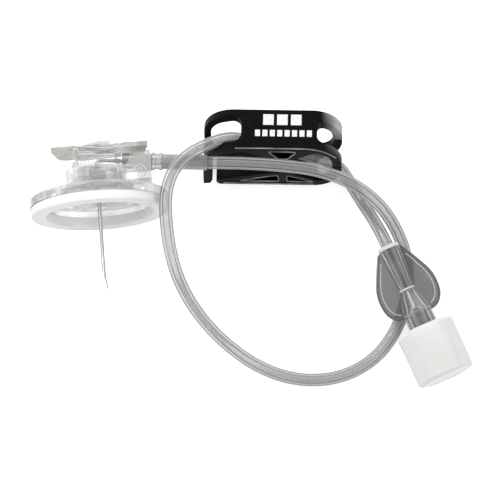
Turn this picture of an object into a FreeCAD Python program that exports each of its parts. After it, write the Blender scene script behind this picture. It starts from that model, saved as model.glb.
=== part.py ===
import FreeCAD, Part
import math
import os
import sys
from FreeCAD import Placement, Rotation, Vector

sys.path.append(os.path.join(FreeCAD.getHomePath(), "Mod", "Sketcher"))
import Sketcher

# A non-coring port needle with its extension set, lying as it comes to rest.
# Right is +X, up the table is +Y and +Z points away from the table. The needle
# points along -Y, and its disc stands on its rim at the origin.

doc = FreeCAD.newDocument("port_needle_set")
sheet = doc.addObject("Spreadsheet::Sheet", "sizes")
sheet.Label = "sizes"


class Size:
    """A number that remembers the sheet expression it comes from."""

    def __init__(self, number, text):
        self.number = float(number)
        self.text = text

    def join(self, other, mark, number):
        return Size(number, f"({self.text} {mark} {other.text})")

    def __add__(self, other):
        other = as_size(other)
        return self.join(other, "+", self.number + other.number)

    def __sub__(self, other):
        other = as_size(other)
        return self.join(other, "-", self.number - other.number)

    def __mul__(self, other):
        other = as_size(other)
        return self.join(other, "*", self.number * other.number)

    def __truediv__(self, other):
        other = as_size(other)
        return self.join(other, "/", self.number / other.number)

    def __neg__(self):
        return Size(-self.number, f"(-{self.text})")


def as_size(value):
    """A plain number counts as a size too."""
    if isinstance(value, Size):
        return value
    return Size(value, f"({value})")


row_count = 0


def size(alias, number):
    """Write one driving dimension, in millimetres or degrees, into the sheet."""
    global row_count
    row_count += 1
    cell = f"B{row_count}"
    sheet.set(f"A{row_count}", alias)
    sheet.set(cell, str(number))
    sheet.setAlias(cell, alias)
    return Size(number, f"sizes.{alias}")


# Clearances
running_gap = size("running_gap", 0.3)
glue_gap = size("glue_gap", 0.05)

# Disc and foam ring
disc_radius = size("disc_radius", 15.0)
rim_height = size("rim_height", 1.9)
dome_height = size("dome_height", 2.7)
disc_top = size("disc_top", 3.1)
disc_recess = size("disc_recess", 1.3)
foam_hole_radius = size("foam_hole_radius", 11.5)
foam_thickness = size("foam_thickness", 2.3)
vent_length = size("vent_length", 2.6)
vent_width = size("vent_width", 0.9)
vent_radius = size("vent_radius", 9.6)

# Safety housing and the guard that traps the tip
housing_radius = size("housing_radius", 6.9)
housing_wall = size("housing_wall", 1.0)
housing_top = size("housing_top", 8.0)
saddle_reach = size("saddle_reach", 11.8)
saddle_half_width = size("saddle_half_width", 2.9)
saddle_bottom = size("saddle_bottom", 4.6)
saddle_top = size("saddle_top", 10.7)
guard_radius = size("guard_radius", 2.2)
guard_top = size("guard_top", 7.4)
guard_flange_radius = size("guard_flange_radius", 4.2)
guard_flange = size("guard_flange", 0.8)

# Needle
needle_diameter = size("needle_diameter", 0.72)
needle_lumen = size("needle_lumen", 0.42)
needle_length = size("needle_length", 19.0)
needle_bend = size("needle_bend", 1.8)
tip_length = size("tip_length", 3.4)
tip_offset = size("tip_offset", 0.42)
bevel_angle = size("bevel_angle", 17.0)

# Hub between the wings
deck_bottom = size("deck_bottom", 8.2)
deck_top = size("deck_top", 9.6)
skirt_bottom = size("skirt_bottom", 4.6)
skirt_wall = size("skirt_wall", 0.9)
block_half_length = size("block_half_length", 4.2)
block_half_width = size("block_half_width", 4.4)
block_top = size("block_top", 12.4)
ridge_top = size("ridge_top", 13.4)
ridge_half_width = size("ridge_half_width", 3.2)

# Folding wings
left_wing_span = size("left_wing_span", 9.7)
right_wing_span = size("right_wing_span", 11.5)
wing_chord = size("wing_chord", 9.2)
wing_thickness = size("wing_thickness", 1.0)
wing_bead_radius = size("wing_bead_radius", 0.7)
wing_hinge_x = size("wing_hinge_x", 4.5)
wing_hinge_height = size("wing_hinge_height", 11.9)

# Tubing and the sleeve that it is glued into
tube_diameter = size("tube_diameter", 2.8)
tube_lumen = size("tube_lumen", 1.4)
sleeve_diameter = size("sleeve_diameter", 3.4)
sleeve_length = size("sleeve_length", 18.4)
sleeve_height = size("sleeve_height", 9.4)
sleeve_slope = size("sleeve_slope", 5.4)
socket_length = size("socket_length", 10.0)
ring_height = size("ring_height", 0.25)

# Pinch clamp
clamp_length = size("clamp_length", 30.0)
clamp_width = size("clamp_width", 10.0)
clamp_depth = size("clamp_depth", 14.0)
clamp_skin = size("clamp_skin", 1.5)
clamp_rib = size("clamp_rib", 1.1)
clamp_strip = size("clamp_strip", 1.5)
hinge_strip_low = size("hinge_strip_low", 1.8)
hinge_strip_high = size("hinge_strip_high", 2.8)
entry_slot_end = size("entry_slot_end", 8.2)
exit_slot_start = size("exit_slot_start", 24.6)
foot_height = size("foot_height", 3.6)
arm_tip = size("arm_tip", 2.8)
anvil_gap = size("anvil_gap", 3.8)
anvil_x = size("anvil_x", 17.3)
clamp_roll = size("clamp_roll", -21.5)
clamp_yaw = size("clamp_yaw", -5.2)
clamp_centre_x = size("clamp_centre_x", 38.24)
clamp_centre_y = size("clamp_centre_y", 14.32)
clamp_centre_z = size("clamp_centre_z", 8.4)

# Winged luer connector and its cap
funnel_radius = size("funnel_radius", 2.4)
funnel_length = size("funnel_length", 9.8)
neck_radius = size("neck_radius", 1.75)
cone_length = size("cone_length", 15.2)
barrel_radius = size("barrel_radius", 3.2)
barrel_length = size("barrel_length", 25.5)
lug_radius = size("lug_radius", 3.9)
luer_bore = size("luer_bore", 4.3)
luer_depth = size("luer_depth", 9.0)
finger_half_width = size("finger_half_width", 6.9)
finger_plate = size("finger_plate", 1.0)
cap_start = size("cap_start", 19.2)
cap_length = size("cap_length", 12.0)
cap_radius = size("cap_radius", 5.9)
cap_wall = size("cap_wall", 1.5)
luer_yaw = size("luer_yaw", 19.8)
luer_tilt = size("luer_tilt", 3.8)
luer_x = size("luer_x", 61.4)
luer_y = size("luer_y", -9.42)
luer_z = size("luer_z", 8.0)

doc.recompute()


# Sketching by corners

def body_plane(body, role):
    for feature in body.Origin.OriginFeatures:
        if feature.Role == role:
            return feature
    raise RuntimeError(f"no plane {role}")


def body_axis(body, role):
    return (body_plane(body, role), [""])


def corner_cut(before, corner, after, radius):
    """Where a rounding of this radius starts and ends beside a corner."""
    back = (before - corner).normalize()
    ahead = (after - corner).normalize()
    half = back.getAngle(ahead) / 2
    reach = radius / math.tan(half)
    middle = corner + (back + ahead).normalize() * (radius / math.sin(half))
    return corner + back * reach, middle, corner + ahead * reach


def outline(body, name, role, corners, lift=None):
    """A closed sketch through corners, each (across, up) or (across, up, rounding)."""
    sketch = body.newObject("Sketcher::SketchObject", name)
    sketch.AttachmentSupport = [(body_plane(body, role), "")]
    sketch.MapMode = "FlatFace"
    if lift is not None:
        sketch.AttachmentOffset = Placement(Vector(0, 0, lift.number), Rotation())
        sketch.setExpression("AttachmentOffset.Base.z", lift.text)
    count = len(corners)
    across = [as_size(corner[0]) for corner in corners]
    up = [as_size(corner[1]) for corner in corners]
    rounding = [as_size(corner[2]) if len(corner) > 2 else None for corner in corners]
    spots = [Vector(across[i].number, up[i].number, 0) for i in range(count)]
    starts, ends, middles = [], [], []
    for i in range(count):
        if rounding[i] is None:
            starts.append(spots[i])
            ends.append(spots[i])
            middles.append(None)
        else:
            begin, middle, finish = corner_cut(
                spots[i - 1], spots[i], spots[(i + 1) % count], rounding[i].number)
            starts.append(begin)
            middles.append(middle)
            ends.append(finish)
    lines = []
    for i in range(count):
        segment = Part.LineSegment(ends[i], starts[(i + 1) % count])
        lines.append(sketch.addGeometry(segment, False))

    def pin(geometry, vertex, i):
        for kind, place in (("DistanceX", across[i]), ("DistanceY", up[i])):
            index = sketch.addConstraint(
                Sketcher.Constraint(kind, -1, 1, geometry, vertex, place.number))
            sketch.setExpression(f"Constraints[{index}]", place.text)

    for i in range(count):
        before = lines[i - 1]
        after = lines[i]
        if rounding[i] is None:
            sketch.addConstraint(Sketcher.Constraint("Coincident", before, 2, after, 1))
            pin(after, 1, i)
            continue
        centre = middles[i]
        radius = rounding[i]
        crown = centre + (spots[i] - centre).normalize() * radius.number
        left_turn = (spots[i] - starts[i]).cross(ends[i] - spots[i]).z > 0
        if left_turn:
            arc = Part.Arc(starts[i], crown, ends[i])
            first_end = 1
        else:
            arc = Part.Arc(ends[i], crown, starts[i])
            first_end = 2
        bend = sketch.addGeometry(arc, False)
        corner = sketch.addGeometry(Part.Point(spots[i]), True)
        pin(corner, 1, i)
        sketch.addConstraint(Sketcher.Constraint("PointOnObject", corner, 1, before))
        sketch.addConstraint(Sketcher.Constraint("PointOnObject", corner, 1, after))
        sketch.addConstraint(
            Sketcher.Constraint("Tangent", before, 2, bend, first_end))
        sketch.addConstraint(
            Sketcher.Constraint("Tangent", bend, 3 - first_end, after, 1))
        index = sketch.addConstraint(Sketcher.Constraint("Radius", bend, radius.number))
        sketch.setExpression(f"Constraints[{index}]", radius.text)
    return sketch


def ring_sketch(body, name, role, across, up, radius, lift=None):
    """A circle at (across, up)."""
    sketch = body.newObject("Sketcher::SketchObject", name)
    sketch.AttachmentSupport = [(body_plane(body, role), "")]
    sketch.MapMode = "FlatFace"
    if lift is not None:
        sketch.AttachmentOffset = Placement(Vector(0, 0, lift.number), Rotation())
        sketch.setExpression("AttachmentOffset.Base.z", lift.text)
    across, up, radius = as_size(across), as_size(up), as_size(radius)
    circle = Part.Circle(Vector(across.number, up.number, 0), Vector(0, 0, 1), radius.number)
    geometry = sketch.addGeometry(circle, False)
    for kind, place in (("DistanceX", across), ("DistanceY", up)):
        index = sketch.addConstraint(
            Sketcher.Constraint(kind, -1, 1, geometry, 3, place.number))
        sketch.setExpression(f"Constraints[{index}]", place.text)
    index = sketch.addConstraint(Sketcher.Constraint("Radius", geometry, radius.number))
    sketch.setExpression(f"Constraints[{index}]", radius.text)
    return sketch


def revolved(body, sketch, name, cut=False):
    """Turn a sketch on the XZ plane once round the body's Z axis."""
    kind = "PartDesign::Groove" if cut else "PartDesign::Revolution"
    feature = body.newObject(kind, name)
    feature.Profile = sketch
    feature.ReferenceAxis = body_axis(body, "Z_Axis")
    feature.Angle = 360
    return feature


def padded(body, sketch, name, length, middle=True, cut=False, turned=False):
    """Give a sketch thickness, to one side or evenly to both."""
    kind = "PartDesign::Pocket" if cut else "PartDesign::Pad"
    feature = body.newObject(kind, name)
    feature.Profile = sketch
    length = as_size(length)
    feature.Length = length.number
    feature.setExpression("Length", length.text)
    feature.Midplane = middle
    feature.Reversed = turned
    return feature


def new_body(label):
    body = doc.addObject("PartDesign::Body", label)
    body.Label = label
    return body


# Places of the sub-parts. The needle group is drawn with the needle down its own
# Z axis and the disc's underside at height 0, then laid on the disc's rim.

needle_shift = (needle_length - ridge_top) / 2
needle_place = Placement(
    Vector(0, needle_shift.number, disc_radius.number), Rotation(Vector(1, 0, 0), -90))


def needle_group(body):
    """Lay a piece of the needle group down, at the height of the disc's axis."""
    body.Placement = needle_place
    body.setExpression("Placement.Base.y", needle_shift.text)
    body.setExpression("Placement.Base.z", disc_radius.text)


# Disc

disc = new_body("base_disc")
disc_profile = outline(disc, "disc_profile", "XZ_Plane", [
    (guard_radius, disc_recess + 0.6),
    (foam_hole_radius - 3.6, disc_recess + 0.6, 0.8),
    (foam_hole_radius, disc_recess - 0.1),
    (foam_hole_radius, 0),
    (disc_radius, 0),
    (disc_radius, rim_height, 0.7),
    (disc_radius - 2.2, dome_height, 1.6),
    (housing_radius + 1.5, disc_top, 0.8),
    (guard_radius, disc_top),
])
revolved(disc, disc_profile, "disc_turned")
vent = outline(disc, "vent_outline", "XY_Plane", [
    (vent_radius - vent_width / 2, -vent_length / 2, 0.3),
    (vent_radius + vent_width / 2, -vent_length / 2, 0.3),
    (vent_radius + vent_width / 2, vent_length / 2, 0.3),
    (vent_radius - vent_width / 2, vent_length / 2, 0.3),
])
vent_cut = padded(disc, vent, "vent", disc_top * 3, cut=True)
doc.recompute()
vents = disc.newObject("PartDesign::PolarPattern", "vents")
vents.Originals = [vent_cut]
vents.Axis = body_axis(disc, "Z_Axis")
vents.Angle = 360
vents.Occurrences = 8
disc.Tip = vents
needle_group(disc)

# Foam ring

foam = new_body("foam_ring")
foam_profile = outline(foam, "foam_profile", "XZ_Plane", [
    (foam_hole_radius, -foam_thickness, 0.4),
    (disc_radius - 0.1, -foam_thickness, 0.6),
    (disc_radius - 0.1, 0),
    (foam_hole_radius, 0),
])
revolved(foam, foam_profile, "foam_turned")
needle_group(foam)

# Safety housing with the saddle that holds the sleeve

housing = new_body("safety_housing")
housing_inner = housing_radius - housing_wall
housing_profile = outline(housing, "housing_profile", "XZ_Plane", [
    (housing_inner, disc_top),
    (housing_radius + 0.6, disc_top),
    (housing_radius + 0.6, disc_top + 0.7),
    (housing_radius, disc_top + 0.7),
    (housing_radius, housing_top, 0.6),
    (housing_inner, housing_top, 0.3),
])
revolved(housing, housing_profile, "housing_turned")
saddle_outline = outline(housing, "saddle_outline", "XZ_Plane", [
    (housing_radius - housing_wall * 0.6, saddle_bottom),
    (saddle_reach, saddle_bottom, 0.5),
    (saddle_reach, saddle_top, 0.5),
    (housing_radius + 0.8, saddle_top, 0.8),
    (housing_radius - housing_wall * 0.6, housing_top - 0.7),
])
padded(housing, saddle_outline, "saddle_block", saddle_half_width * 2)
notch_half = sleeve_diameter / 2 + running_gap
notch_centre = sleeve_height - 0.65
notch = outline(housing, "saddle_notch", "YZ_Plane", [
    (-notch_half, notch_centre - notch_half, notch_half - 0.02),
    (notch_half, notch_centre - notch_half, notch_half - 0.02),
    (notch_half, saddle_top + 1),
    (-notch_half, saddle_top + 1),
])
notch_cut = padded(housing, notch, "notch_cut", saddle_reach + 1, middle=False, cut=True)
notch_cut.Reversed = True
window = outline(housing, "latch_window", "XZ_Plane", [
    (-1.4, housing_top - 3.4, 0.5),
    (1.4, housing_top - 3.4, 0.5),
    (1.4, housing_top - 1.2, 0.5),
    (-1.4, housing_top - 1.2, 0.5),
])
padded(housing, window, "window_cut", housing_radius * 3, cut=True)
needle_group(housing)

# Guard that traps the needle's tip

guard = new_body("tip_guard")
needle_radius = needle_diameter / 2
guard_bore = needle_radius + tip_offset + running_gap
guard_profile = outline(guard, "guard_profile", "XZ_Plane", [
    (guard_bore, disc_recess + 0.6),
    (guard_radius, disc_recess + 0.6),
    (guard_radius, disc_top),
    (guard_flange_radius, disc_top),
    (guard_flange_radius, disc_top + guard_flange, 0.3),
    (guard_radius, disc_top + guard_flange, 0.5),
    (guard_radius - 0.3, guard_top, 0.4),
    (guard_bore, guard_top),
])
revolved(guard, guard_profile, "guard_turned")
needle_group(guard)

# Hub

hub = new_body("hub_moulding")
skirt_radius = housing_inner - running_gap * 2
hub_profile = outline(hub, "hub_profile", "XZ_Plane", [
    (0, deck_bottom),
    (skirt_radius - skirt_wall, deck_bottom, 0.5),
    (skirt_radius - skirt_wall, skirt_bottom),
    (skirt_radius, skirt_bottom, 0.3),
    (skirt_radius, deck_top, 0.4),
    (0, deck_top),
])
revolved(hub, hub_profile, "hub_turned")
block = outline(hub, "block_outline", "XY_Plane", [
    (-block_half_length, -block_half_width, 0.6),
    (block_half_length, -block_half_width, 0.6),
    (block_half_length, block_half_width, 0.6),
    (-block_half_length, block_half_width, 0.6),
], lift=deck_bottom + 0.4)
padded(hub, block, "block", block_top - deck_bottom - 0.4, middle=False)
ridge = outline(hub, "ridge_outline", "XZ_Plane", [
    (-block_half_length + 0.7, block_top - 0.3),
    (block_half_length - 0.8, block_top - 0.3),
    (block_half_length - 0.9, ridge_top, 0.3),
    (0, ridge_top, 2.0),
    (-block_half_length + 0.7, block_top + 0.15),
])
padded(hub, ridge, "ridge", ridge_half_width * 2)
port = outline(hub, "port_boss", "XZ_Plane", [
    (guard_radius + 0.4, sleeve_height - sleeve_diameter / 2),
    (skirt_radius, sleeve_height - sleeve_diameter / 2),
    (skirt_radius, sleeve_height + sleeve_diameter / 2 - running_gap),
    (guard_radius + 0.4, sleeve_height + sleeve_diameter / 2 - running_gap),
])
padded(hub, port, "port", sleeve_diameter)
for label, where in (("left", -wing_hinge_x), ("right", wing_hinge_x)):
    groove = ring_sketch(hub, f"groove_{label}", "XZ_Plane", where, wing_hinge_height,
                         wing_bead_radius + running_gap)
    padded(hub, groove, f"groove_cut_{label}", wing_chord * 2, cut=True)
needle_group(hub)
doc.recompute()


# Needle tube, bent inside the hub, with a deflected point

def tube_along(path, outer, bore):
    """A round tube that follows a wire of lines and arcs."""
    edges = path.Edges
    start = edges[0].valueAt(edges[0].FirstParameter)
    ahead = edges[0].tangentAt(edges[0].FirstParameter)
    rings = [Part.Wire(Part.makeCircle(width / 2, start, ahead)) for width in (outer, bore)]
    solids = [path.makePipeShell([ring], True, False) for ring in rings]
    return solids[0].cut(solids[1])


def bent_wire(points, radii):
    """Straight runs through the points, with an arc of its own radius at each bend."""
    edges = []
    last = points[0]
    for before, corner, after, radius in zip(points, points[1:], points[2:], radii):
        begin, middle, finish = corner_cut(before, corner, after, radius)
        crown = middle + (corner - middle).normalize() * radius
        if last.distanceToPoint(begin) > 1e-6:
            edges.append(Part.LineSegment(last, begin).toShape())
        edges.append(Part.Arc(begin, crown, finish).toShape())
        last = finish
    edges.append(Part.LineSegment(last, points[-1]).toShape())
    return Part.Wire(edges)


slope = math.radians(sleeve_slope.number)
sleeve_seat = sleeve_diameter.number / 2 * math.tan(slope) + glue_gap.number
port_start = Vector(skirt_radius.number + sleeve_seat, 0, sleeve_height.number)
port_way = Vector(math.cos(slope), 0, -math.sin(slope))
bend_height = sleeve_height.number + skirt_radius.number * math.tan(slope)
tip_start = -needle_length.number + tip_length.number
needle_points = [
    port_start + port_way * 2.0,
    Vector(0, 0, bend_height),
    Vector(0, 0, tip_start),
    Vector(-tip_offset.number, 0, -needle_length.number),
]
needle_path = bent_wire(needle_points, [needle_bend.number, tip_length.number * 4])
needle_tube = tube_along(needle_path, needle_diameter.number, needle_lumen.number)
bevel_box = Part.makeBox(4, 4, 8, Vector(0, -2, -8))
bevel_box.rotate(Vector(0, 0, 0), Vector(0, 1, 0), bevel_angle.number)
bevel_box.translate(Vector(-tip_offset.number - needle_radius.number, 0, -needle_length.number))
cannula = doc.addObject("Part::Feature", "cannula")
cannula.Label = "cannula"
cannula.Shape = needle_tube.cut(bevel_box)
cannula.Placement = needle_place

channel_path = bent_wire(needle_points[:3], [needle_bend.number])
channel_way = channel_path.Edges[0].tangentAt(channel_path.Edges[0].FirstParameter)
channel_ring = Part.Wire(Part.makeCircle(needle_radius.number, needle_points[0], channel_way))
channel = doc.addObject("Part::Feature", "needle_channel")
channel.Shape = channel_path.makePipeShell([channel_ring], True, False)
channel.Placement = needle_place
hub_body = doc.addObject("Part::Cut", "hub_body")
hub_body.Label = "hub_body"
hub_body.Base = hub
hub_body.Tool = channel


# Wings

def wing(label, side, span):
    """One frosted wing, with the bead that it folds on at its root."""
    body = new_body(label)
    half = wing_chord / 2
    root = (wing_hinge_x + 0.4) * side
    tip = span * side
    corners = [
        (root, -half),
        (tip, -half, 0.9),
        (tip - side * 1.6, half, 2.6),
        (root, half),
    ]
    if side < 0:
        corners.reverse()
    plan = outline(body, "plan", "XY_Plane", corners,
                   lift=wing_hinge_height - wing_thickness / 2)
    padded(body, plan, "plate", wing_thickness, middle=False)
    bead = ring_sketch(body, "bead_outline", "XZ_Plane", wing_hinge_x * side,
                       wing_hinge_height, wing_bead_radius)
    padded(body, bead, "bead", wing_chord - 0.8)
    needle_group(body)


wing("left_wing", -1, left_wing_span)
wing("right_wing", 1, right_wing_span)

# Sleeve on the hub's side port

sleeve = new_body("port_sleeve")
sleeve_radius = sleeve_diameter / 2
solid_length = sleeve_length - socket_length
ring_start = saddle_reach - skirt_radius + running_gap
sleeve_profile = outline(sleeve, "sleeve_profile", "XZ_Plane", [
    (tube_lumen / 2, 0),
    (sleeve_radius, 0),
    (sleeve_radius, ring_start),
    (sleeve_radius + ring_height, ring_start + 0.2),
    (sleeve_radius + ring_height, ring_start + 0.9),
    (sleeve_radius, ring_start + 1.1),
    (sleeve_radius, ring_start + 1.8),
    (sleeve_radius + ring_height, ring_start + 2.0),
    (sleeve_radius + ring_height, ring_start + 2.7),
    (sleeve_radius, ring_start + 2.9),
    (sleeve_radius, sleeve_length, 0.15),
    (tube_diameter / 2 + glue_gap, sleeve_length),
    (tube_diameter / 2 + glue_gap, solid_length),
    (tube_lumen / 2, solid_length),
])
revolved(sleeve, sleeve_profile, "sleeve_turned")
sleeve_turn = Rotation(Vector(0, 0, 1), -sleeve_slope.number) * Rotation(Vector(0, 1, 0), 90)
sleeve.Placement = Placement(needle_place.multVec(port_start), sleeve_turn)


# Tubing. The points are the route's corners; an arc as large as its two runs
# allow rounds each of them.

ARC_SHARE = 0.45

tube_start = sleeve.Placement.multVec(Vector(0, 0, solid_length.number))

hub_route = [
    tube_start,
    sleeve.Placement.multVec(Vector(0, 0, 21.4)),
    Vector(38.3, 8.1, 14.4),
    Vector(47.2, 6.3, 12.4),
    Vector(54.4, 3.1, 11.0),
    Vector(60.2, -1.4, 9.2),
    Vector(64.1, -7.1, 5.2),
    Vector(65.7, -13.4, 2.9),
    Vector(64.8, -20.2, 1.7),
    Vector(61.9, -27.0, 1.45),
    Vector(56.7, -33.0, 1.45),
    Vector(48.9, -36.4, 1.45),
    Vector(39.9, -36.2, 1.45),
    Vector(31.5, -32.8, 1.9),
    Vector(24.6, -27.6, 4.0),
    Vector(19.8, -21.9, 8.0),
    Vector(17.3, -16.0, 12.9),
    Vector(17.0, -9.9, 17.2),
    Vector(16.3, -4.0, 20.3),
    Vector(15.9, 2.3, 22.5),
    Vector(16.9, 9.4, 22.5),
    Vector(19.7, 14.8, 18.9),
    Vector(24.3, 16.9, 15.3),
]

anvil_middle = -clamp_depth / 2 - 0.25
clamp_turn = (Rotation(Vector(0, 0, 1), clamp_yaw.number)
              * Rotation(Vector(1, 0, 0), clamp_roll.number))
clamp_middle = Vector(
    clamp_length.number / 2, clamp_width.number / 2, -clamp_depth.number / 2)
clamp_centre = Vector(clamp_centre_x.number, clamp_centre_y.number, clamp_centre_z.number)
clamp_place = Placement(clamp_centre - clamp_turn.multVec(clamp_middle), clamp_turn)

pinch_reach = Vector(7.3, 0.34, -2.92)
pinch_exit = Vector(7.3, -0.65, -2.92)
pinch_middle = Vector(anvil_x.number, clamp_width.number / 2, anvil_middle.number)
slot_corner = clamp_place.multVec(pinch_middle - pinch_reach * 1.6)
pinch_start = clamp_place.multVec(pinch_middle - pinch_reach)
pinch_end = clamp_place.multVec(pinch_middle + pinch_exit)
hinge_corner = clamp_place.multVec(pinch_middle + pinch_exit * 1.64)

luer_turn = (Rotation(Vector(0, 0, 1), luer_yaw.number)
             * Rotation(Vector(1, 0, 0), 90 + luer_tilt.number))
luer_place = Placement(Vector(luer_x.number, luer_y.number, luer_z.number), luer_turn)

luer_route = [
    Vector(55.9, 6.35, 3.0),
    Vector(57.9, 1.2, 3.4),
    Vector(58.3, -3.7, 6.2),
    luer_place.multVec(Vector(0, 0, -1.65)),
    luer_place.multVec(Vector(0, 0, 3.4)),
]


def cord(label, points):
    """A tube of tangent arcs through the points, with its radii printed."""
    radii = []
    for before, corner, after in zip(points, points[1:], points[2:]):
        turn = (corner - before).getAngle(after - corner)
        shorter = min((corner - before).Length, (after - corner).Length)
        radii.append(ARC_SHARE * shorter / math.tan(turn / 2))
    path = bent_wire(points, radii)
    shape = tube_along(path, tube_diameter.number, tube_lumen.number)
    section = math.pi * (tube_diameter.number ** 2 - tube_lumen.number ** 2) / 4
    print(label, "length", round(path.Length, 2),
          "volume share", round(shape.Volume / (section * path.Length), 4),
          "radii", [round(radius, 1) for radius in radii])
    feature = doc.addObject("Part::Feature", label)
    feature.Label = label
    feature.Shape = shape
    return feature


cord("hub_tube", hub_route + [slot_corner, pinch_start])
cord("pinch_tube", [pinch_start, clamp_place.multVec(pinch_middle), pinch_end])
cord("luer_tube", [pinch_end, hinge_corner] + luer_route)

# Clamp. Its own X runs along it, Y across it and the printed face is at Z = 0.

upper_anvil = anvil_middle + anvil_gap / 2
lower_anvil = anvil_middle - anvil_gap / 2
hinge_z = -clamp_depth / 2


def side_window(body, name, corners):
    """A truss opening, cut right across the clamp."""
    sketch = outline(body, name, "XZ_Plane", corners)
    return padded(body, sketch, name + "_cut", clamp_width * 3, cut=True)


def tube_slot(body, name, corners, depth):
    """A slot for the tube, cut down from the printed face."""
    sketch = outline(body, name, "XY_Plane", corners)
    return padded(body, sketch, name + "_cut", depth, middle=False, cut=True)


exit_corners = [
    (exit_slot_start, hinge_strip_low, 1.6),
    (clamp_length + 2, hinge_strip_low),
    (clamp_length + 2, clamp_width - hinge_strip_high),
    (exit_slot_start, clamp_width - hinge_strip_high, 1.6),
]


frame_body = new_body("clamp_frame")
frame_outline = outline(frame_body, "frame_outline", "XZ_Plane", [
    (0, 0, 6.5),
    (clamp_length, 0, 6.5),
    (clamp_length, hinge_z + running_gap / 2),
    (clamp_length - clamp_skin * 1.25, hinge_z + running_gap / 2),
    (clamp_length - clamp_skin * 1.6, -clamp_skin * 2.4, 2.6),
    (anvil_x + 7.0, -clamp_skin * 1.25, 1.5),
    (anvil_x + 0.7, upper_anvil, 0.5),
    (anvil_x - 0.7, upper_anvil, 0.5),
    (anvil_x - 8.6, -clamp_skin * 1.1, 2.0),
    (clamp_skin, -clamp_skin * 2.4, 4.0),
    (clamp_skin, -clamp_depth + 2.6),
    (clamp_skin + 0.5, -clamp_depth + 1.5, 0.3),
    (clamp_skin, -clamp_depth + 0.3, 0.4),
    (0, -clamp_depth, 0.4),
])
padded(frame_body, frame_outline, "frame_moulding", clamp_width, middle=False, turned=True)
side_window(frame_body, "upper_truss", [
    (anvil_x - 3.4, -clamp_skin, 0.3),
    (anvil_x + 3.0, -clamp_skin, 0.3),
    (anvil_x + 1.0, upper_anvil + clamp_rib, 0.4),
    (anvil_x - 1.0, upper_anvil + clamp_rib, 0.4),
])
tube_slot(frame_body, "entry_slot", [
    (-2, clamp_strip),
    (entry_slot_end, clamp_strip, 2.2),
    (entry_slot_end, clamp_width - clamp_strip, 2.2),
    (-2, clamp_width - clamp_strip),
], clamp_depth - foot_height)
tube_slot(frame_body, "exit_slot", exit_corners, clamp_depth)
frame_body.Placement = clamp_place

arm_body = new_body("clamp_arm")
arm_outline = outline(arm_body, "arm_outline", "XZ_Plane", [
    (arm_tip, -clamp_depth, 1.2),
    (clamp_length, -clamp_depth, 6.3),
    (clamp_length, hinge_z - running_gap / 2),
    (clamp_length - clamp_skin * 1.25, hinge_z - running_gap / 2),
    (clamp_length - clamp_skin * 1.6, -clamp_depth + clamp_skin, 3.0),
    (anvil_x + 7.0, -clamp_depth + clamp_skin * 1.2, 1.0),
    (anvil_x + 0.7, lower_anvil, 0.5),
    (anvil_x - 0.7, lower_anvil, 0.5),
    (arm_tip + 1.2, -clamp_depth + 1.8, 2.0),
    (arm_tip, -clamp_depth + 1.7, 0.4),
])
padded(arm_body, arm_outline, "arm_moulding", clamp_width, middle=False, turned=True)
side_window(arm_body, "long_truss", [
    (anvil_x - 9.9, -clamp_depth + 1.3, 0.2),
    (anvil_x - 0.8, -clamp_depth + 1.3, 0.3),
    (anvil_x - 1.2, lower_anvil - clamp_rib, 0.3),
])
side_window(arm_body, "short_truss", [
    (anvil_x + 0.8, -clamp_depth + 1.3, 0.3),
    (anvil_x + 6.9, -clamp_depth + 1.3, 0.2),
    (anvil_x + 0.8, lower_anvil - clamp_rib * 1.1, 0.3),
])
tube_slot(arm_body, "arm_exit_slot", exit_corners, clamp_depth * 2)
arm_body.Placement = clamp_place

# Luer connector. Its own Z runs from the funnel's rim to the cap.

luer = new_body("luer_connector")
luer_profile = outline(luer, "luer_profile", "XZ_Plane", [
    (0, 0),
    (funnel_radius, 0, 0.25),
    (funnel_radius, 0.9, 0.6),
    (neck_radius, funnel_length),
    (neck_radius, funnel_length + 0.8),
    (barrel_radius - 0.1, cone_length, 0.6),
    (barrel_radius, barrel_length - 1.6),
    (lug_radius, barrel_length - 1.2),
    (lug_radius, barrel_length - 0.3),
    (lug_radius - 0.3, barrel_length),
    (0, barrel_length),
])
revolved(luer, luer_profile, "luer_turned")
finger_corners = [
    (0, 2.2), (2.2, 2.6), (5.2, 4.4, 2.4), (finger_half_width, 8.2, 3.4),
    (finger_half_width - 0.2, 12.0, 3.0), (4.9, 15.4, 2.4), (2.4, 16.2), (0, 16.2),
    (-2.4, 16.2), (-4.9, 15.4, 2.4), (-(finger_half_width - 0.2), 12.0, 3.0),
    (-finger_half_width, 8.2, 3.4), (-5.2, 4.4, 2.4), (-2.2, 2.6),
]
finger_outline = outline(luer, "finger_outline", "XZ_Plane", finger_corners)
padded(luer, finger_outline, "finger_wings", finger_plate)
bore_profile = outline(luer, "bore_profile", "XZ_Plane", [
    (0, -0.1),
    (funnel_radius - 0.35, -0.1),
    (tube_diameter / 2 + glue_gap, 2.4),
    (tube_diameter / 2 + glue_gap, funnel_length - 1.2),
    (tube_lumen / 2, funnel_length - 1.2),
    (tube_lumen / 2, barrel_length - luer_depth),
    (luer_bore / 2 - 0.27, barrel_length - luer_depth),
    (luer_bore / 2, barrel_length + 0.1),
    (0, barrel_length + 0.1),
])
revolved(luer, bore_profile, "luer_bored", cut=True)
luer.Placement = luer_place

# Cap

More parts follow.
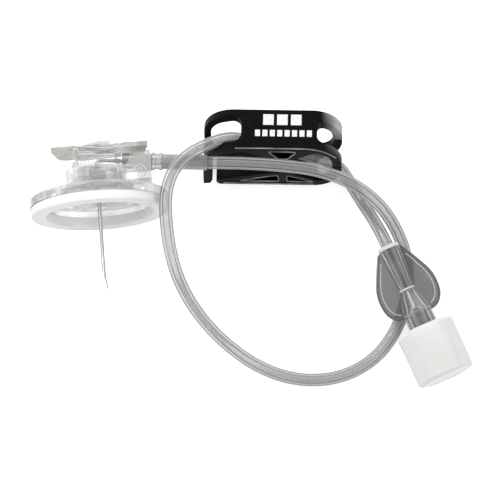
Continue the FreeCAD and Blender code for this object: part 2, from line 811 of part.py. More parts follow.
cap = new_body("luer_cap")
half_side = cap_radius / math.sqrt(3)
hexagon = [
    (half_side * 2, 0, 2.6), (half_side, cap_radius, 2.6), (-half_side, cap_radius, 2.6),
    (-(half_side * 2), 0, 2.6), (-half_side, -cap_radius, 2.6),
    (half_side, -cap_radius, 2.6),
]
hexagon_outline = outline(cap, "cap_outline", "XY_Plane", hexagon, lift=cap_start)
cap_pad = padded(cap, hexagon_outline, "cap_solid", cap_length, middle=False)
doc.recompute()
cap_end = cap_start.number + cap_length.number
rim_edges = []
for number, edge in enumerate(cap_pad.Shape.Edges, 1):
    box = edge.BoundBox
    if box.ZLength < 0.01 and min(abs(box.ZMin - cap_end), abs(box.ZMin - cap_start.number)) < 0.01:
        rim_edges.append(f"Edge{number}")
cap_rounding = cap.newObject("PartDesign::Fillet", "cap_rounding")
cap_rounding.Base = (cap_pad, rim_edges)
cap_rounding.Radius = 0.9
cap.Tip = cap_rounding
cavity = lug_radius + running_gap
post_radius = luer_bore / 2 - 0.27 - running_gap
cavity_profile = outline(cap, "cavity_profile", "XZ_Plane", [
    (0, cap_start - 0.1),
    (cavity, cap_start - 0.1),
    (cavity, cap_start + cap_length - cap_wall),
    (post_radius, cap_start + cap_length - cap_wall),
    (post_radius - 0.1, barrel_length - luer_depth + 2.0),
    (0, barrel_length - luer_depth + 2.0),
])
revolved(cap, cavity_profile, "cap_cavity", cut=True)
cap.Placement = luer_place

# Checks and export

doc.recompute()
failed = [thing.Name for thing in doc.Objects
          if "Invalid" in thing.State or "Error" in thing.State]
if failed:
    raise RuntimeError(f"failed: {failed}")

pieces = [
    "base_disc", "foam_ring", "safety_housing", "tip_guard", "hub_body", "left_wing",
    "right_wing", "cannula", "port_sleeve", "hub_tube", "pinch_tube", "luer_tube",
    "clamp_frame", "clamp_arm", "luer_connector", "luer_cap",
]
os.makedirs("parts", exist_ok=True)
for label in pieces:
    shape = doc.getObjectsByLabel(label)[0].Shape
    if shape.isNull() or not shape.isValid() or len(shape.Solids) != 1:
        raise RuntimeError(f"{label} is not one sound solid")
for label in pieces:
    doc.getObjectsByLabel(label)[0].Shape.exportStep(f"parts/{label}.step")
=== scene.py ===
import math
import bmesh
import bpy
from mathutils import Matrix, Vector, noise


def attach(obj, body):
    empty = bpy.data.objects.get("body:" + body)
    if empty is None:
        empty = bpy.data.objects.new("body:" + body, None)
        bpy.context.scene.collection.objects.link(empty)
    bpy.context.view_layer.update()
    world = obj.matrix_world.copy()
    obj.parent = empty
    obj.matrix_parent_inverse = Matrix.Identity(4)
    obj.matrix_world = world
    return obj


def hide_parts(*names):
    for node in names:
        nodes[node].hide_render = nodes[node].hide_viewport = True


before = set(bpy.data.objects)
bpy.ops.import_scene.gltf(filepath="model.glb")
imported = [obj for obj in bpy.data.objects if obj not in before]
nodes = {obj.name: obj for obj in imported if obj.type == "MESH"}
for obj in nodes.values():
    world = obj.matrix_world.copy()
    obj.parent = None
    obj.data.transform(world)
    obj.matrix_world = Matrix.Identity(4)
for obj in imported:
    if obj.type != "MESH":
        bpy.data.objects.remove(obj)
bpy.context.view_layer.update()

MM = 0.001
scene = bpy.context.scene


# Places of the sub-parts, as in the solids

def place(origin, axes):
    """A matrix from a sub-part's own millimetres to the row frame in metres."""
    matrix = axes.to_4x4()
    matrix.translation = origin
    return Matrix.Scale(MM, 4) @ matrix


def turn(axis, degrees):
    return Matrix.Rotation(math.radians(degrees), 3, axis)


NEEDLE = place((0, 2.8, 15), Matrix(((1, 0, 0), (0, 0, 1), (0, -1, 0))))

clamp_turn = turn("Z", -5.2) @ turn("X", -21.5)
clamp_middle = Vector((38.24, 14.32, 8.4))
CLAMP = place(clamp_middle - clamp_turn @ Vector((15, 5, -7)), clamp_turn)

LUER = place((61.4, -9.42, 8.0), turn("Z", 19.8) @ turn("X", 93.8))
SLEEVE = place((5.511, 12.2, 15), turn("Z", -5.4) @ turn("Y", 90))


# Mesh helpers

def new_object(name, mesh, body, material, smooth=True):
    piece = bpy.data.objects.new(name, mesh)
    scene.collection.objects.link(piece)
    for polygon in mesh.polygons:
        polygon.use_smooth = smooth
    mesh.materials.append(material)
    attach(piece, body)
    return piece


def finished(work, name):
    """The mesh that a bmesh makes. The bmesh is used up."""
    mesh = bpy.data.meshes.new(name)
    work.to_mesh(mesh)
    work.free()
    return mesh


def lathe(name, profile, matrix, body, material, steps=72, wobble=None):
    """Turn a closed (radius, height) profile round the sub-part's own Z axis."""
    work = bmesh.new()
    rings = []
    for step in range(steps):
        angle = 2 * math.pi * step / steps
        ring = []
        for radius, height in profile:
            spot = Vector((radius * math.cos(angle), radius * math.sin(angle), height))
            if wobble is not None:
                spot = wobble(spot)
            ring.append(work.verts.new(matrix @ spot))
        rings.append(ring)
    count = len(profile)
    for step in range(steps):
        here = rings[step]
        after = rings[(step + 1) % steps]
        for i in range(count):
            j = (i + 1) % count
            work.faces.new((here[i], after[i], after[j], here[j]))
    bmesh.ops.recalc_face_normals(work, faces=work.faces)
    return new_object(name, finished(work, name), body, material)


def rounded_profile(corners, steps=4):
    """Round each (radius, height, rounding) corner of a closed profile."""
    spots = []
    for i, (across, up, rounding) in enumerate(corners):
        here = Vector((across, up))
        back = (Vector(corners[i - 1][:2]) - here).normalized()
        ahead = (Vector(corners[(i + 1) % len(corners)][:2]) - here).normalized()
        for step in range(steps + 1):
            share = step / steps
            pull = back * (1 - share) ** 2 + ahead * share ** 2
            spots.append(tuple(here + pull * rounding))
    return spots


def blocks(name, boxes, matrix, body, material, round_off=0.06):
    """Small rounded bars, each ((low corner), (high corner)) in the sub-part's millimetres."""
    work = bmesh.new()
    for low, high in boxes:
        middle = [(a + b) / 2 for a, b in zip(low, high)]
        widths = [b - a for a, b in zip(low, high)]
        made = bmesh.ops.create_cube(
            work, size=1,
            matrix=Matrix.Translation(middle) @ Matrix.Diagonal((*widths, 1)))
        edges = {edge for vert in made["verts"] for edge in vert.link_edges}
        bmesh.ops.bevel(work, geom=list(edges), offset=round_off, segments=2, affect="EDGES")
    work.transform(matrix)
    return new_object(name, finished(work, name), body, material, smooth=False)


def slab(name, outline, near, far, matrix, body, material):
    """A plate with an (x, z) outline in the sub-part's millimetres, from near to far in y."""
    work = bmesh.new()
    front = [work.verts.new((x, near, z)) for x, z in outline]
    rear = [work.verts.new((x, far, z)) for x, z in outline]
    work.faces.new(front)
    work.faces.new(rear[::-1])
    for i in range(len(outline)):
        j = (i + 1) % len(outline)
        work.faces.new((front[j], front[i], rear[i], rear[j]))
    bmesh.ops.recalc_face_normals(work, faces=work.faces)
    bmesh.ops.bevel(work, geom=work.edges[:], offset=0.08, segments=2, affect="EDGES")
    work.transform(matrix)
    return new_object(name, finished(work, name), body, material, smooth=False)


def smooth_curve(name, points, radius, resolution, roundness):
    """An open smooth curve with a round section, led by points in metres."""
    curve = bpy.data.curves.new(name, "CURVE")
    curve.dimensions = "3D"
    line = curve.splines.new("NURBS")
    line.points.add(len(points) - 1)
    for spot, point in zip(line.points, points):
        spot.co = (*point, 1)
    line.order_u = 3
    line.use_endpoint_u = True
    line.resolution_u = resolution
    curve.bevel_depth = radius
    curve.bevel_resolution = roundness
    return curve


def surface_of(curve, name):
    """The curve's surface as a mesh without a material. The curve is used up."""
    holder = bpy.data.objects.new(name + "_line", curve)
    mesh = bpy.data.meshes.new_from_object(holder)
    mesh.name = name
    mesh.materials.clear()
    bpy.data.objects.remove(holder)
    bpy.data.curves.remove(curve)
    return mesh


def bead(name, points, matrix, radius, body, material, closed=False):
    """A round bead along a smooth line led by points in the sub-part's millimetres."""
    curve = smooth_curve(name, [matrix @ Vector(point) for point in points], radius * MM, 8, 3)
    curve.use_fill_caps = True
    curve.splines[0].use_endpoint_u = not closed
    curve.splines[0].use_cyclic_u = closed
    return new_object(name, surface_of(curve, name), body, material)


# Materials

class Look:
    """A node material round one Principled shader."""

    def __init__(self, name, color, roughness):
        self.material = bpy.data.materials.new(name)
        self.material.use_nodes = True
        self.tree = self.material.node_tree
        self.shader = self.tree.nodes["Principled BSDF"]
        self.shader.inputs["Base Color"].default_value = (*color, 1)
        self.shader.inputs["Roughness"].default_value = roughness
        self.coordinates = self.tree.nodes.new("ShaderNodeTexCoord")

    def link(self, source, target):
        self.tree.links.new(source, target)

    def noise(self, scale, detail=4.0):
        texture = self.tree.nodes.new("ShaderNodeTexNoise")
        texture.inputs["Scale"].default_value = scale
        texture.inputs["Detail"].default_value = detail
        self.link(self.coordinates.outputs["Object"], texture.inputs["Vector"])
        return texture.outputs["Fac"]

    def ramp(self, source, stops):
        ramp = self.tree.nodes.new("ShaderNodeValToRGB")
        elements = ramp.color_ramp.elements
        while len(elements) < len(stops):
            elements.new(0.5)
        for element, (place_at, color) in zip(elements, stops):
            element.position = place_at
            element.color = (*color, 1)
        self.link(source, ramp.inputs["Fac"])
        return ramp.outputs["Color"]

    def spread(self, source, low, high, start=0.0, end=1.0):
        spread = self.tree.nodes.new("ShaderNodeMapRange")
        spread.inputs["From Min"].default_value = start
        spread.inputs["From Max"].default_value = end
        spread.inputs["To Min"].default_value = low
        spread.inputs["To Max"].default_value = high
        self.link(source, spread.inputs["Value"])
        return spread.outputs["Result"]

    def bump(self, source, strength, distance):
        bump = self.tree.nodes.new("ShaderNodeBump")
        bump.inputs["Strength"].default_value = strength
        bump.inputs["Distance"].default_value = distance
        self.link(source, bump.inputs["Height"])
        self.link(bump.outputs["Normal"], self.shader.inputs["Normal"])

    def combine(self, operation, first, second, clamp=False):
        """Two values in one, each of them a node's output or a plain number."""
        step = self.tree.nodes.new("ShaderNodeMath")
        step.operation = operation
        step.use_clamp = clamp
        for source, socket in ((first, step.inputs[0]), (second, step.inputs[1])):
            if isinstance(source, float):
                socket.default_value = source
            else:
                self.link(source, socket)
        return step.outputs["Value"]

    def shifted(self, source, texture, amount):
        """The source with the texture added to it, so that its bands wander."""
        sway = self.combine("MULTIPLY", self.combine("SUBTRACT", texture, 0.5), amount)
        return self.combine("ADD", sway, source, clamp=True)

    def along(self, letter, low, high, top=1.0):
        """Rises from 0 to top along one of the object's own axes, from low to high in metres."""
        parts = self.tree.nodes.new("ShaderNodeSeparateXYZ")
        self.link(self.coordinates.outputs["Object"], parts.inputs["Vector"])
        return self.spread(parts.outputs[letter], 0.0, top, low, high)

    def blend(self, factor, first, second):
        mix = self.tree.nodes.new("ShaderNodeMix")
        mix.data_type = "RGBA"
        self.link(factor, mix.inputs["Factor"])
        for source, socket in ((first, mix.inputs["A"]), (second, mix.inputs["B"])):
            if isinstance(source, tuple):
                socket.default_value = (*source, 1)
            else:
                self.link(source, socket)
        return mix.outputs["Result"]

    def edge(self, blend):
        weight = self.tree.nodes.new("ShaderNodeLayerWeight")
        weight.inputs["Blend"].default_value = blend
        return weight.outputs["Facing"]


DENSE_TONE = (0.16, 0.17, 0.16)


def clear_look(name, tones, see_middle, see_rim, roughness=0.08, streaks=0.0, denser=None):
    """Clear plastic: open where it faces you, with bands of painted highlight and painted shade
    towards its edges.

    With denser as (low, high, extra) it thickens and darkens from low to high along X.
    """
    look = Look(name, (0.4, 0.4, 0.4), roughness)
    facing = look.edge(0.4)
    if streaks:
        facing = look.shifted(facing, look.noise(420, 2), streaks)
    color = look.ramp(facing, [(place_at, (tone, tone * 1.03, tone)) for place_at, tone in tones])
    alpha = look.spread(facing, see_middle, see_rim, 0.05, 0.8)
    if denser is not None:
        reach = look.along("X", *denser)
        color = look.blend(reach, color, DENSE_TONE)
        alpha = look.combine("ADD", alpha, reach, clamp=True)
    look.link(color, look.shader.inputs["Base Color"])
    look.link(alpha, look.shader.inputs["Alpha"])
    return look.material


# Each tone list is a set of painted highlight and painted shade bands, from where the piece faces
# you out to its rim.
clear_disc = clear_look(
    "clear_disc", [(0.0, 0.85), (0.2, 0.40), (0.38, 0.95), (0.6, 0.35), (0.8, 0.75), (1.0, 0.2)],
    0.15, 0.7, streaks=0.5, denser=(-0.0085, -0.0125, 0.35))
clear_housing = clear_look(
    "clear_housing", [(0.0, 0.96), (0.2, 0.66), (0.35, 1.0), (0.6, 0.55), (0.8, 0.95),
                      (1.0, 0.30)], 0.20, 0.66, streaks=0.6, denser=(0.0078, 0.0092, 0.30))
clear_hub = clear_look(
    "clear_hub", [(0.0, 0.85), (0.2, 0.30), (0.4, 0.90), (0.6, 0.25), (0.8, 0.8), (1.0, 0.08)],
    0.16, 0.75, streaks=0.6)
clear_tube = clear_look(
    "clear_tube", [(0.0, 0.34), (0.05, 0.60), (0.12, 0.20), (0.20, 0.42), (0.29, 0.95),
                   (0.37, 0.30), (0.50, 0.14), (0.62, 0.55), (0.80, 0.08)], 0.27, 0.92,
    roughness=0.14, denser=(0.012, 0.042, 0.20))
clear_bore = clear_look(
    "clear_bore", [(0.0, 0.85), (0.12, 0.40), (0.3, 0.75), (0.5, 0.10), (1.0, 0.05)], 0.22, 0.75,
    roughness=0.4)
clear_sleeve = clear_look(
    "clear_sleeve", [(0.0, 0.50), (0.3, 0.62), (0.5, 0.14), (0.7, 0.85), (0.85, 0.16),
                     (1.0, 0.06)], 0.34, 0.95, streaks=0.15)
clear_luer = clear_look(
    "clear_luer", [(0.0, 0.14), (0.06, 0.42), (0.14, 0.14), (0.24, 0.60), (0.34, 0.10),
                   (0.50, 0.18), (0.62, 0.85), (0.8, 0.16)], 0.55, 0.90)
clear_wing = clear_look(
    "clear_wing", [(0.0, 0.13), (0.3, 0.10), (0.6, 0.26), (1.0, 0.15)], 0.68, 0.92, streaks=0.3)
clear_finger = clear_look(
    "clear_finger", [(0.0, 0.40), (0.4, 0.50), (0.7, 0.60), (1.0, 0.18)], 0.5, 0.8)
light_edge = clear_look(
    "light_edge", [(0.0, 0.95), (0.6, 0.85), (1.0, 0.55)], 0.75, 0.9)


def wing_look():
    """Frosted at both wings' ends; clear over the hub, with painted highlight and painted shade
    streaks there.
    """
    look = Look("wing_plastic", (0.5, 0.5, 0.44), 0.3)
    speckle = look.noise(900, 6)
    frost = look.ramp(speckle, [(0.35, (0.36, 0.36, 0.31)), (0.7, (0.60, 0.60, 0.53))])
    squeeze = look.tree.nodes.new("ShaderNodeMapping")
    squeeze.inputs["Scale"].default_value = (90, 700, 500)
    squeeze.inputs["Rotation"].default_value = (0, 0, 0.12)
    look.link(look.coordinates.outputs["Object"], squeeze.inputs["Vector"])
    painted_streak_noise = look.tree.nodes.new("ShaderNodeTexNoise")
    painted_streak_noise.inputs["Scale"].default_value = 1.0
    look.link(squeeze.outputs["Vector"], painted_streak_noise.inputs["Vector"])
    # Painted highlight and painted shade streaks for the clear part over the hub.
    clear = look.ramp(painted_streak_noise.outputs["Fac"], [
        (0.30, (0.62, 0.63, 0.62)), (0.42, (0.16, 0.17, 0.17)), (0.50, (0.85, 0.86, 0.85)),
        (0.58, (0.24, 0.25, 0.24)), (0.68, (0.75, 0.76, 0.75))])
    left_end = look.along("X", -0.0042, -0.0066)
    right_end = look.along("X", 0.0056, 0.0100)
    ends = look.combine("MAXIMUM", left_end, right_end)
    look.link(look.blend(ends, clear, frost), look.shader.inputs["Base Color"])
    look.link(look.spread(ends, 0.58, 0.84), look.shader.inputs["Alpha"])
    look.bump(speckle, 0.3, 0.0002)
    return look.material


def foam_look():
    look = Look("white_foam", (0.93, 0.93, 0.92), 0.85)
    cells = look.noise(1800, 3)
    color = look.ramp(cells, [(0.3, (0.93, 0.93, 0.92)), (0.6, (0.98, 0.98, 0.975))])
    look.link(color, look.shader.inputs["Base Color"])
    look.bump(cells, 0.15, 0.0001)
    return look.material


def steel_look():
    look = Look("needle_steel", (0.7, 0.7, 0.68), 0.25)
    look.shader.inputs["Metallic"].default_value = 1.0
    # Painted highlight down the needle's middle and painted shade towards its sides, set by the
    # Layer Weight facing.
    look.link(look.ramp(look.edge(0.5), [(0.10, (0.88, 0.87, 0.83)), (0.35, (0.30, 0.30, 0.27)),
                                         (0.8, (0.06, 0.06, 0.05))]),
              look.shader.inputs["Base Color"])
    look.link(look.spread(look.noise(700, 2), 0.26, 0.44), look.shader.inputs["Roughness"])
    return look.material


def black_look(name, painted_hinge_sheen):
    """Satin black, with a painted reflection in grey on the hinge's outer band if that is asked
    for.
    """
    look = Look(name, (0.006, 0.006, 0.006), 0.42)
    look.shader.inputs["Specular IOR Level"].default_value = 0.07
    grain = look.noise(1500, 5)
    black = look.ramp(grain, [(0.3, (0.002, 0.002, 0.002)), (0.75, (0.007, 0.007, 0.007))])
    if not painted_hinge_sheen:
        look.link(black, look.shader.inputs["Base Color"])
    else:
        # Painted reflection: grey patches kept to the hinge's outer band.
        sheen_grey = look.ramp(look.noise(160, 2), [(0.35, (0.20, 0.205, 0.21)),
                                              (0.65, (0.58, 0.59, 0.60))])
        band = look.combine("MULTIPLY", look.along("X", 0.0492, 0.0525),
                            look.along("Y", 0.0100, 0.0140))
        look.link(look.blend(band, black, sheen_grey), look.shader.inputs["Base Color"])
    look.link(look.spread(look.noise(120), 0.34, 0.52, 0.3, 0.7),
              look.shader.inputs["Roughness"])
    look.bump(grain, 0.12, 0.0001)
    return look.material


def lit_edge_look():
    """Painted highlight: the grey of a moulded edge that catches the light."""
    look = Look("painted_edge_glint", (0.1, 0.1, 0.1), 0.4)
    look.link(look.ramp(look.noise(240, 3), [(0.35, (0.10, 0.104, 0.11)),
                                             (0.65, (0.42, 0.43, 0.44))]),
              look.shader.inputs["Base Color"])
    return look.material


def print_look():
    look = Look("white_print", (0.9, 0.9, 0.9), 0.5)
    grain = look.noise(1400, 3)
    look.link(look.ramp(grain, [(0.3, (0.78, 0.78, 0.78)), (0.6, (0.95, 0.95, 0.95))]),
              look.shader.inputs["Base Color"])
    return look.material


def cap_look():
    look = Look("white_cap", (0.82, 0.82, 0.80), 0.4)
    cloud = look.noise(140, 3)
    look.link(look.ramp(cloud, [(0.3, (0.77, 0.77, 0.75)), (0.7, (0.86, 0.86, 0.85))]),
              look.shader.inputs["Base Color"])
    look.shader.inputs["Subsurface Weight"].default_value = 0.2
    look.shader.inputs["Subsurface Radius"].default_value = (0.002, 0.002, 0.002)
    look.bump(look.noise(900, 4), 0.1, 0.0001)
    return look.material


wing_plastic = wing_look()
white_foam = foam_look()
needle_steel = steel_look()
black_clamp = black_look("black_clamp", False)
# The frame's black carries a painted reflection on its hinge band.
sheen_painted_clamp = black_look("sheen_painted_clamp", True)
# Painted highlight for the beads along the clamp's edges.
painted_edge_glint = lit_edge_look()
white_print = print_look()
white_cap = cap_look()

for label, material in (
    ("base_disc", clear_disc), ("safety_housing", clear_housing), ("tip_guard", clear_disc),
    ("hub_body", clear_hub), ("left_wing", wing_plastic), ("right_wing", wing_plastic),
    ("clamp_frame", sheen_painted_clamp), ("clamp_arm", black_clamp), ("luer_cap", white_cap),
):
    mesh = nodes[label].data
    mesh.materials.clear()
    mesh.materials.append(material)


# Camera, at the photograph's angle

ELEVATION = math.radians(77.5)
ROLL = math.radians(4.2)
PICTURE_WIDTH = 500
PIXELS_PER_MM = 4.65
DISTANCE = 1.4
SENSOR_WIDTH = 36
across = Vector((1, 0, 0))
upward = Vector((0, math.sin(ELEVATION), math.cos(ELEVATION)))
right = across * math.cos(ROLL) - upward * math.sin(ROLL)
up = across * math.sin(ROLL) + upward * math.cos(ROLL)
back = right.cross(up)
camera_data = bpy.data.cameras.new("camera")
camera_data.sensor_width = SENSOR_WIDTH
camera_data.lens = SENSOR_WIDTH * DISTANCE * PIXELS_PER_MM / (PICTURE_WIDTH * MM)
camera_data.clip_start = 0.01
camera_data.clip_end = 20
camera = bpy.data.objects.new("camera", camera_data)
scene.collection.objects.link(camera)
aim = Vector((0.03167, -0.00952, 0.015))
camera.matrix_world = Matrix.Translation(aim + back * DISTANCE) @ Matrix(
    (right, up, back)).transposed().to_4x4()
scene.camera = camera


# Tubing, one smooth line from the sleeve to the connector

TUBE_RADIUS = 0.0014
BORE_RADIUS = 0.0007

# In row millimetres, in the clamp's own, in row millimetres again and in the connector's own
ROUTE = [
    (13.873, 11.410, 15.0), (25.0, 10.358, 15.0), (32.5, 9.5, 15.6), (40.2, 8.35, 15.9),
    (47.8, 7.0, 15.0), (55.4, 3.7, 13.2), (60.9, -1.0, 10.4), (64.4, -7.0, 6.0),
    (65.7, -13.4, 2.9), (64.8, -20.2, 1.7), (61.9, -27.0, 1.45), (56.7, -33.0, 1.45),
    (48.9, -36.4, 1.45), (39.9, -36.2, 1.45), (31.5, -32.8, 2.4), (24.0, -27.2, 7.0),
    (18.7, -21.4, 14.2), (15.7, -15.6, 20.8), (14.5, -9.6, 23.8), (14.2, -3.6, 24.6),
    (14.5, 2.2, 24.2), (16.2, 7.2, 22.6), (19.6, 11.3, 20.0), (24.4, 14.2, 16.8),
]
CLAMP_ROUTE = [(5.9, 4.2, -2.2), (10.6, 4.66, -4.57), (17.3, 5.0, -7.25),
               (24.6, 4.35, -10.17), (29.272, 3.934, -12.039)]
BACK_ROUTE = [(54.3, 6.9, 2.6), (56.6, 2.0, 3.4), (58.9, -2.9, 6.0)]
LUER_ROUTE = [(0, 0, -1.65), (0, 0, 3.4)]

points = [Vector(point) * MM for point in ROUTE]
points += [CLAMP @ Vector(point) for point in CLAMP_ROUTE]
points += [Vector(point) * MM for point in BACK_ROUTE]
points += [LUER @ Vector(point) for point in LUER_ROUTE]

tube_curve = smooth_curve("tubing_line", points, TUBE_RADIUS, 10, 5)
tube_curve.materials.append(clear_tube)
tubing = bpy.data.objects.new("extension_tube", tube_curve)
scene.collection.objects.link(tubing)
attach(tubing, "tubing")
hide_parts("hub_tube", "pinch_tube", "luer_tube")

bore_curve = smooth_curve("bore_line", points, BORE_RADIUS, 10, 5)
tube_bore = new_object("tube_bore", surface_of(bore_curve, "tube_bore"), "tubing", clear_bore)


# Needle, with its point ground to a slant and set a little to one side

NEEDLE_RADIUS = 0.00036
NEEDLE_WALL = 0.00015
POINT_SLANT = math.radians(15)
POINT_HEEL = (0.84, 0, -19.0)
NEEDLE_ROUTE = [(7.3, 0, 9.15), (1.9, 0, 9.75), (0, 0, 9.9), (0, 0, 8.0), (0, 0, -13.2),
                (0, 0, -15.6), (0.15, 0, -17.2), (0.5, 0, -19.0)]
needle_curve = smooth_curve(
    "needle_line", [NEEDLE @ Vector(point) for point in NEEDLE_ROUTE], NEEDLE_RADIUS, 12, 6)
needle_mesh = surface_of(needle_curve, "needle_shaft")
needle_work = bmesh.new()
needle_work.from_mesh(needle_mesh)
slant = NEEDLE.to_3x3() @ Vector((-math.cos(POINT_SLANT), 0, -math.sin(POINT_SLANT)))
bmesh.ops.bisect_plane(
    needle_work, geom=needle_work.verts[:] + needle_work.edges[:] + needle_work.faces[:],
    plane_co=NEEDLE @ Vector(POINT_HEEL), plane_no=slant, clear_outer=True)
needle_work.to_mesh(needle_mesh)
needle_work.free()
needle_shaft = new_object("needle_shaft", needle_mesh, "tubing", needle_steel)
wall = needle_shaft.modifiers.new("wall", "SOLIDIFY")
wall.thickness = NEEDLE_WALL
wall.offset = -1
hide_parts("cannula")


# Sleeve with its fine rings

sleeve_profile = rounded_profile([
    (0.75, 0.3, 0.1), (1.68, 0.05, 0.15), (1.68, 6.4, 0.1), (1.92, 6.55, 0.08),
    (1.92, 7.15, 0.08), (1.70, 7.3, 0.08), (1.70, 7.9, 0.08), (1.92, 8.05, 0.08),
    (1.92, 8.65, 0.08), (1.68, 8.9, 0.1), (1.66, 13.0, 0.3), (1.70, 18.2, 0.2),
    (1.58, 18.4, 0.06), (1.44, 18.35, 0.04), (1.44, 8.6, 0.1), (0.75, 8.4, 0.1),
])
sleeve = lathe("soft_sleeve", sleeve_profile, SLEEVE, "tubing", clear_sleeve, steps=48)
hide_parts("port_sleeve")


# Foam ring, with the slightly uneven edge of cut foam

def foam_wobble(spot):
    """Move a spot of the ring in or out a little, and its lower face up or down."""
    shift = noise.noise(spot * 0.35) * 0.10 + noise.noise(spot * 1.6) * 0.04
    radial = Vector((spot.x, spot.y, 0)).normalized()
    lower = -0.3 * shift if spot.z < -1 else 0.0
    return spot + radial * shift * 0.6 + Vector((0, 0, lower))


foam_profile = rounded_profile([
    (11.55, -2.22, 0.35), (14.75, -2.22, 0.6), (14.8, -0.06, 0.15), (11.55, -0.06, 0.12),
])
foam = lathe("foam_pad", foam_profile, NEEDLE, "base", white_foam, steps=120,
             wobble=foam_wobble)
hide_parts("foam_ring")


# Connector: a turned body with its bore, and two finger wings that widen from its funnel

luer_profile = rounded_profile([
    (2.05, -0.04, 0.05), (2.40, 0, 0.15), (2.40, 0.9, 0.4), (1.75, 9.8, 0.5), (1.75, 10.6, 0.4),
    (3.10, 15.2, 0.5), (3.20, 23.9, 0.1), (3.90, 24.3, 0.1), (3.90, 25.2, 0.1),
    (3.60, 25.5, 0.1), (2.15, 25.5, 0.1), (1.88, 16.5, 0.1), (0.70, 16.5, 0.05),
    (0.70, 8.6, 0.05), (1.45, 8.6, 0.05), (1.45, 2.4, 0.1),
])
luer_body = lathe("luer_body", luer_profile, LUER, "tubing", clear_luer, steps=64)
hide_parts("luer_connector")

for label, side in (("left", -1), ("right", 1)):
    plate = rounded_profile([(side * x, z, rounding) for x, z, rounding in (
        (2.25, 0.95, 0.15), (2.75, 0.95, 0.25), (6.75, 8.9, 2.2), (6.60, 13.9, 1.7),
        (4.60, 16.1, 1.1), (3.05, 16.2, 0.2), (2.95, 15.0, 0.2), (1.65, 10.7, 0.4),
        (1.65, 9.7, 0.4))])
    wing = slab(f"finger_wing_{label}", plate, -0.5, 0.5, LUER, "tubing", clear_wing)

    rim_points = [(side * x, 0.0, z) for x, z in (
        (2.7, 1.2), (3.9, 3.4), (5.3, 6.2), (6.3, 8.6), (6.6, 11.2), (6.2, 13.6),
        (5.2, 15.2), (3.9, 15.95), (3.1, 16.0))]
    bead(f"finger_rim_{label}", rim_points, LUER, 0.30, "tubing", clear_finger)

    inner = [(side * x, 0.56, z) for x, z in (
        (2.95, 3.0), (4.3, 5.9), (5.35, 8.3), (5.75, 10.6), (5.5, 12.8), (4.6, 14.5),
        (3.4, 15.1))]
    bead(f"finger_line_{label}", inner, LUER, 0.08, "tubing", light_edge)


# Bright rim of the funnel, fine ring on the barrel and whitish end of the tube in the throat

for name, profile, material, steps in (
    ("funnel_rim", [(2.02, -0.04, 0.05), (2.42, -0.04, 0.1), (2.45, 0.72, 0.1),
                    (2.30, 0.8, 0.05), (2.06, 0.2, 0.05)], light_edge, 48),
    ("barrel_ring", [(3.05, 15.6, 0.03), (3.24, 15.7, 0.05), (3.24, 15.95, 0.05),
                     (3.05, 16.05, 0.03)], clear_finger, 64),
    ("throat_ring", [(1.70, 10.1, 0.03), (1.86, 10.1, 0.04), (1.86, 10.45, 0.04),
                     (1.70, 10.45, 0.03)], light_edge, 48),
):
    lathe(name, rounded_profile(profile), LUER, "tubing", material, steps=steps)


# Wing plate carried on in clear plastic over the hub, with a painted highlight line and a painted
# shade line along it

slab("wing_web", [(-3.9, 8.9), (3.9, 9.2), (3.9, 12.3), (-3.9, 12.3)],
     -4.85, -4.5, NEEDLE, "tubing", wing_plastic)
bead("web_line", [(-3.6, -4.9, 12.1), (-1.0, -4.9, 11.7), (1.6, -4.9, 11.55),
                  (3.7, -4.9, 11.1)], NEEDLE, 0.10, "tubing", light_edge)
bead("web_shade", [(-3.5, -4.9, 11.3), (-1.0, -4.9, 11.15), (1.4, -4.9, 11.0),
                   (3.7, -4.9, 10.3)], NEEDLE, 0.12, "tubing", clear_finger)

# Moulded arcs on the saddle's open face

ARC_MIDDLE = (9.4, -2.95, 6.3)
for name, radius in (("saddle_arc", 1.25), ("saddle_eye", 0.55)):
    arc = []
    for degrees in range(-70, 200, 30):
        angle = math.radians(degrees)
        arc.append(Vector(ARC_MIDDLE) + Vector((math.cos(angle), 0, math.sin(angle))) * radius)
    bead(name, arc, NEEDLE, 0.11, "base", light_edge)


# Latch tongues in the housing's two windows

for label, side in (("front", -1), ("rear", 1)):
    tongue = slab(f"latch_tongue_{label}", [(-1.3, 4.7), (1.3, 4.7), (1.3, 6.7), (-1.3, 6.7)],
                  side * 6.45, side * 6.75, NEEDLE, "base", clear_housing)


# Grip ribs round the hub's skirt, on its open side and under the wings

SKIRT_RADIUS = 5.3
RIB_COUNT = 8
RIB_STEP = 0.55
RIB_HALF = 0.12
ribs = []
for index in range(RIB_COUNT):
    lean = -3.2 + RIB_STEP * index
    reach = math.sqrt(SKIRT_RADIUS ** 2 - lean ** 2)
    for near, far in ((-reach - 0.25, -reach + 0.3), (reach - 0.3, reach + 0.25)):
        ribs.append(((lean - RIB_HALF, near, 5.1), (lean + RIB_HALF, far, 9.1)))
blocks("hub_ribs", ribs, NEEDLE, "tubing", clear_hub, round_off=0.08)


# Rows of plain white bars on the clamp's face

bars = [((12.9 + 3.0 * i, 6.0, -0.02), (15.2 + 3.0 * i, 8.8, 0.05)) for i in range(3)]
bars += [((11.2 + 1.6 * i, 3.0, -0.02), (12.3 + 1.6 * i, 4.7, 0.05)) for i in range(8)]
blocks("clamp_bars", bars, CLAMP, "tubing", white_print, round_off=0.03)


# Painted highlights along the edges of the clamp and of its truss openings

def rimmed(name, corners, body):
    """A bead of painted highlight round one opening, on the clamp's near face."""
    line = []
    for i, corner in enumerate(corners):
        here = Vector(corner)
        for other in (Vector(corners[i - 1]), Vector(corners[(i + 1) % len(corners)])):
            spot = here.lerp(other, 0.08)
            line.append((spot.x, 0.02, spot.y))
    bead(name, line, CLAMP, 0.15, body, painted_edge_glint, closed=True)


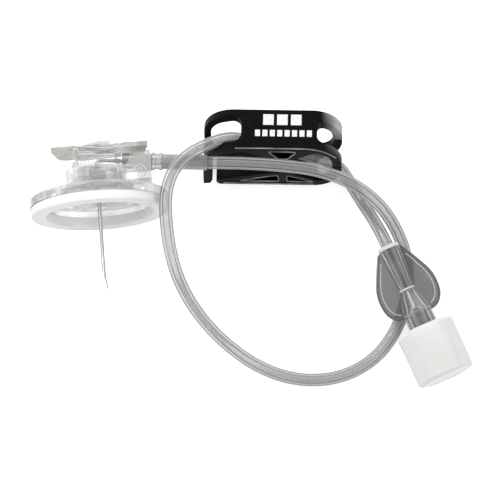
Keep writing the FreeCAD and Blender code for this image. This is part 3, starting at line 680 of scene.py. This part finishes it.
rimmed("upper_truss_edge", [(13.9, -1.5), (20.3, -1.5), (18.3, -4.25), (16.3, -4.25)], "tubing")
rimmed("long_truss_edge", [(7.4, -12.7), (16.5, -12.7), (16.1, -10.25)], "clamp_arm")
rimmed("short_truss_edge", [(18.1, -12.7), (24.2, -12.7), (18.1, -10.36)], "clamp_arm")
bead("arm_edge", [(4.4, -0.05, -13.4), (9, -0.05, -13.55), (20, -0.05, -13.55),
                  (24, -0.05, -13.4)], CLAMP, 0.2, "clamp_arm", painted_edge_glint)
bead("frame_edge", [(7.0, -0.04, -0.3), (10, -0.04, -0.2), (15, -0.04, -0.2), (20, -0.04, -0.2),
                    (23.2, -0.04, -0.25), (26.6, -0.04, -1.3), (28.8, -0.04, -3.5)], CLAMP, 0.15,
     "tubing", painted_edge_glint)


# Floor, world and lights

FLOOR_GLOW = 0.62


def floor_material():
    """Matte white that glows for the rays that look at it, and still takes a shadow."""
    look = Look("floor_white", (0.9, 0.9, 0.9), 0.9)
    rays = look.tree.nodes.new("ShaderNodeLightPath")
    seen = rays.outputs["Is Camera Ray"]
    for ray in ("Is Glossy Ray", "Is Transmission Ray"):
        seen = look.combine("MAXIMUM", seen, rays.outputs[ray])
    glow = look.tree.nodes.new("ShaderNodeEmission")
    glow.inputs["Color"].default_value = (1, 1, 1, 1)
    look.link(look.spread(seen, 0.0, FLOOR_GLOW), glow.inputs["Strength"])
    both = look.tree.nodes.new("ShaderNodeAddShader")
    look.link(look.shader.outputs["BSDF"], both.inputs[0])
    look.link(glow.outputs["Emission"], both.inputs[1])
    look.link(both.outputs["Shader"], look.tree.nodes["Material Output"].inputs["Surface"])
    return look.material


floor_work = bmesh.new()
bmesh.ops.create_grid(floor_work, x_segments=1, y_segments=1, size=3)
floor = bpy.data.objects.new("floor", finished(floor_work, "floor"))
scene.collection.objects.link(floor)
floor.data.materials.append(floor_material())

world = bpy.data.worlds.new("world")
world.use_nodes = True
background = world.node_tree.nodes["Background"]
background.inputs["Color"].default_value = (1, 1, 1, 1)
background.inputs["Strength"].default_value = 0.6
scene.world = world
scene.view_settings.view_transform = "Standard"


def area_light(name, position, target, size, power):
    light = bpy.data.lights.new(name, "AREA")
    light.size = size
    light.energy = power
    lamp = bpy.data.objects.new(name, light)
    lamp.location = position
    aim_way = Vector(target) - Vector(position)
    lamp.rotation_euler = aim_way.to_track_quat("-Z", "Y").to_euler()
    scene.collection.objects.link(lamp)


LIT_SPOT = (0.03, -0.01, 0)
area_light("key", (-0.25, 0.35, 0.55), LIT_SPOT, 0.25, 2.4)
area_light("fill", (0.4, -0.3, 0.5), LIT_SPOT, 0.3, 0.7)
